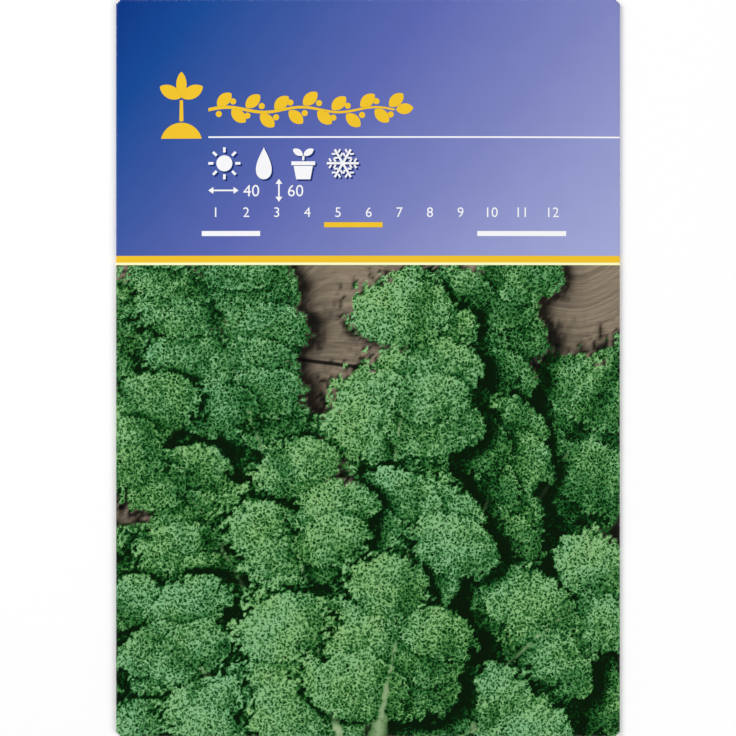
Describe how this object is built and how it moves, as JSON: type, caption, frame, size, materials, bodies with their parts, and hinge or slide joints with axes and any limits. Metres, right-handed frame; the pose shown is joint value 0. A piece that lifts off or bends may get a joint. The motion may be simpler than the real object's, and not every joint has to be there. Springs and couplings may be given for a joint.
{
  "type": "seed packet",
  "caption": "Closed paper seed packet with a printed front panel, a glued lap seam and two folded flaps behind, holding a heat-sealed foil sachet of seeds.",
  "frame": {"origin": "middle of the packet's outline, on the surface that it lies on", "axes": "+X to the packet's right seen from the front, +Y from its foot to its top, +Z out of its printed front"},
  "size_m": [0.11, 0.161, 0.0038],
  "materials": {
    "printed_paper": "satin",
    "glue": "satin",
    "foil": "satin",
    "seed_coat": "satin"
  },
  "bodies": {
    "root": {"outer_bag": "printed_paper", "seam_glue": "glue", "top_flap_glue": "glue", "bottom_flap_glue": "glue", "sachet_back_film": "foil", "sachet_front_film": "foil", "seeds": "seed_coat"}
  },
  "joints": []
}
